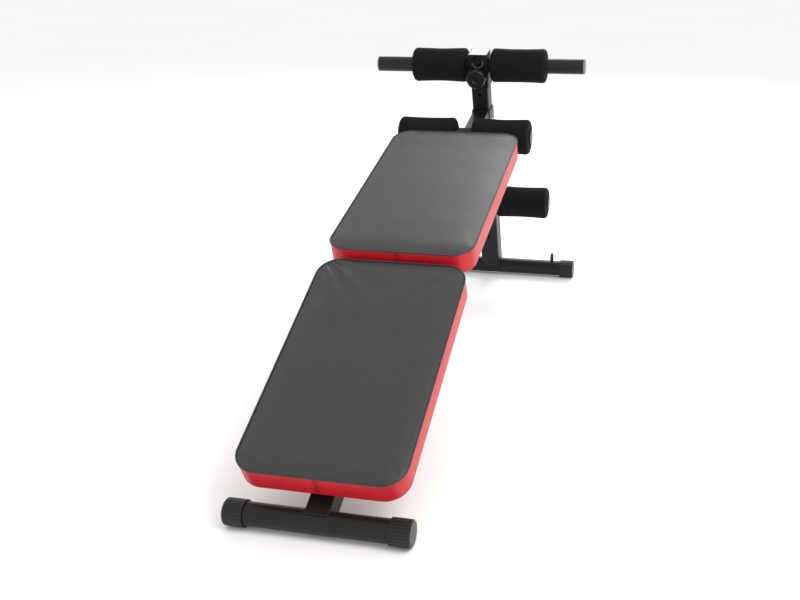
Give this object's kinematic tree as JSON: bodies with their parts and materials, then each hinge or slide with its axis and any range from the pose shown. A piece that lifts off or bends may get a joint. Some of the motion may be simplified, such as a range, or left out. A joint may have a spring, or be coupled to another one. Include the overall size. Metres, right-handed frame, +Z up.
{
  "type": "adjustable weight bench",
  "caption": "Folding sit-up bench: two padded sections on a sloping beam, a leaning leg with foam knee and ankle rollers, and a T-bar that slides on the post.",
  "frame": {"origin": "on the floor, midway between the front and rear foot axes, in the middle of the bench's width", "axes": "+Z up, +Y from the low front foot towards the upright and T-bar, +X to the right seen from the front foot"},
  "size_m": [0.55, 1.4346, 0.6587],
  "materials": {
    "black_powder_coat": "satin",
    "band_eye_wire": "satin",
    "zinc_plated_steel": "satin",
    "foot_cap_plastic": "satin",
    "black_plastic": "satin",
    "gloss_black_plastic": "gloss",
    "grey_end_plug": "satin",
    "black_leatherette": "satin",
    "red_leatherette": "satin",
    "pad_foam": "matte",
    "plywood": "matte",
    "roller_foam": "matte"
  },
  "bodies": {
    "rear_frame": {"rear_foot_tube": "black_powder_coat", "rear_foot_cap_left": "foot_cap_plastic", "rear_foot_cap_right": "foot_cap_plastic", "band_eyes": "band_eye_wire", "leg": "black_powder_coat", "upper_post": "black_powder_coat", "post_bolts": "zinc_plated_steel", "post_nuts": "zinc_plated_steel", "rear_beam": "black_powder_coat", "rear_beam_end_plate": "black_powder_coat", "rear_hinge_bracket": "black_powder_coat", "hinge_side_plates": "black_powder_coat", "hinge_bolt": "zinc_plated_steel", "hinge_nut": "zinc_plated_steel", "fold_lock_housing": "black_powder_coat", "fold_lock_spring": "zinc_plated_steel", "knee_bar": "black_powder_coat", "knee_bar_end_caps": "black_plastic", "knee_bar_saddle": "black_powder_coat", "lower_bar": "black_powder_coat", "lower_bar_end_caps": "black_plastic", "rear_pad_top_cover": "black_leatherette", "rear_pad_side_band": "red_leatherette", "rear_pad_foam": "pad_foam", "rear_pad_board": "plywood", "rear_pad_tee_nuts": "zinc_plated_steel", "rear_pad_bolts": "zinc_plated_steel", "rear_pad_brackets": "black_powder_coat"},
    "front_frame": {"front_foot_tube": "black_powder_coat", "front_foot_cap_left": "foot_cap_plastic", "front_foot_cap_right": "foot_cap_plastic", "front_beam": "black_powder_coat", "front_beam_end_plate": "black_powder_coat", "front_hinge_bracket": "black_powder_coat", "hinge_bush": "black_plastic", "front_pad_top_cover": "black_leatherette", "front_pad_side_band": "red_leatherette", "front_pad_foam": "pad_foam", "front_pad_board": "plywood", "front_pad_tee_nuts": "zinc_plated_steel", "front_pad_bolts": "zinc_plated_steel", "front_pad_brackets": "black_powder_coat"},
    "t_bar": {"t_bar_sleeve": "black_powder_coat", "sleeve_liner": "black_plastic", "sleeve_top_plug": "gloss_black_plastic", "sleeve_front_plug": "gloss_black_plastic", "t_bar_tubes": "black_powder_coat", "t_bar_end_plugs": "grey_end_plug", "height_pin_housing": "black_powder_coat", "height_pin_spring": "zinc_plated_steel"},
    "height_pull": {"height_pin": "zinc_plated_steel", "height_knob": "black_plastic"},
    "fold_lock_pull": {"fold_lock_pin": "zinc_plated_steel", "fold_lock_knob": "black_plastic"},
    "knee_roller_left": {"knee_roller_left": "roller_foam"},
    "knee_roller_right": {"knee_roller_right": "roller_foam"},
    "lower_roller_left": {"lower_roller_left": "roller_foam"},
    "lower_roller_right": {"lower_roller_right": "roller_foam"},
    "t_bar_roller_left": {"t_bar_roller_left": "roller_foam"},
    "t_bar_roller_right": {"t_bar_roller_right": "roller_foam"}
  },
  "joints": [
    {"name": "fold", "type": "hinge", "parent": "rear_frame", "child": "front_frame", "pos_m": [0, -0.1001, 0.25693], "axis": [1, 0, 0], "range_deg": [0, 165]},
    {"name": "t_bar_height", "type": "slide", "parent": "rear_frame", "child": "t_bar", "axis": [0, -0.2164, 0.9763], "range_m": [-0.038, 0]},
    {"name": "height_knob_pull", "type": "slide", "parent": "t_bar", "child": "height_pull", "axis": [0, -0.9763, -0.2164], "range_m": [0, 0.007], "stiffness_N_per_m": 600, "springref_m": -0.008, "deforming": ["height_pin_spring"]},
    {"name": "fold_lock_pull", "type": "slide", "parent": "rear_frame", "child": "fold_lock_pull", "axis": [1, 0, 0], "range_m": [0, 0.007], "stiffness_N_per_m": 600, "springref_m": -0.008, "deforming": ["fold_lock_spring"]},
    {"name": "knee_roller_left_turn", "type": "hinge", "parent": "rear_frame", "child": "knee_roller_left", "pos_m": [0, 0.38589, 0.4663], "axis": [1, 0, 0], "continuous": true},
    {"name": "knee_roller_right_turn", "type": "hinge", "parent": "rear_frame", "child": "knee_roller_right", "pos_m": [0, 0.38589, 0.4663], "axis": [1, 0, 0], "continuous": true},
    {"name": "lower_roller_left_turn", "type": "hinge", "parent": "rear_frame", "child": "lower_roller_left", "pos_m": [0, 0.64755, 0.22927], "axis": [1, 0, 0], "continuous": true},
    {"name": "lower_roller_right_turn", "type": "hinge", "parent": "rear_frame", "child": "lower_roller_right", "pos_m": [0, 0.64755, 0.22927], "axis": [1, 0, 0], "continuous": true},
    {"name": "t_bar_roller_left_turn", "type": "hinge", "parent": "t_bar", "child": "t_bar_roller_left", "pos_m": [0, 0.56199, 0.6152], "axis": [1, 0, 0], "continuous": true},
    {"name": "t_bar_roller_right_turn", "type": "hinge", "parent": "t_bar", "child": "t_bar_roller_right", "pos_m": [0, 0.56199, 0.6152], "axis": [1, 0, 0], "continuous": true}
  ]
}
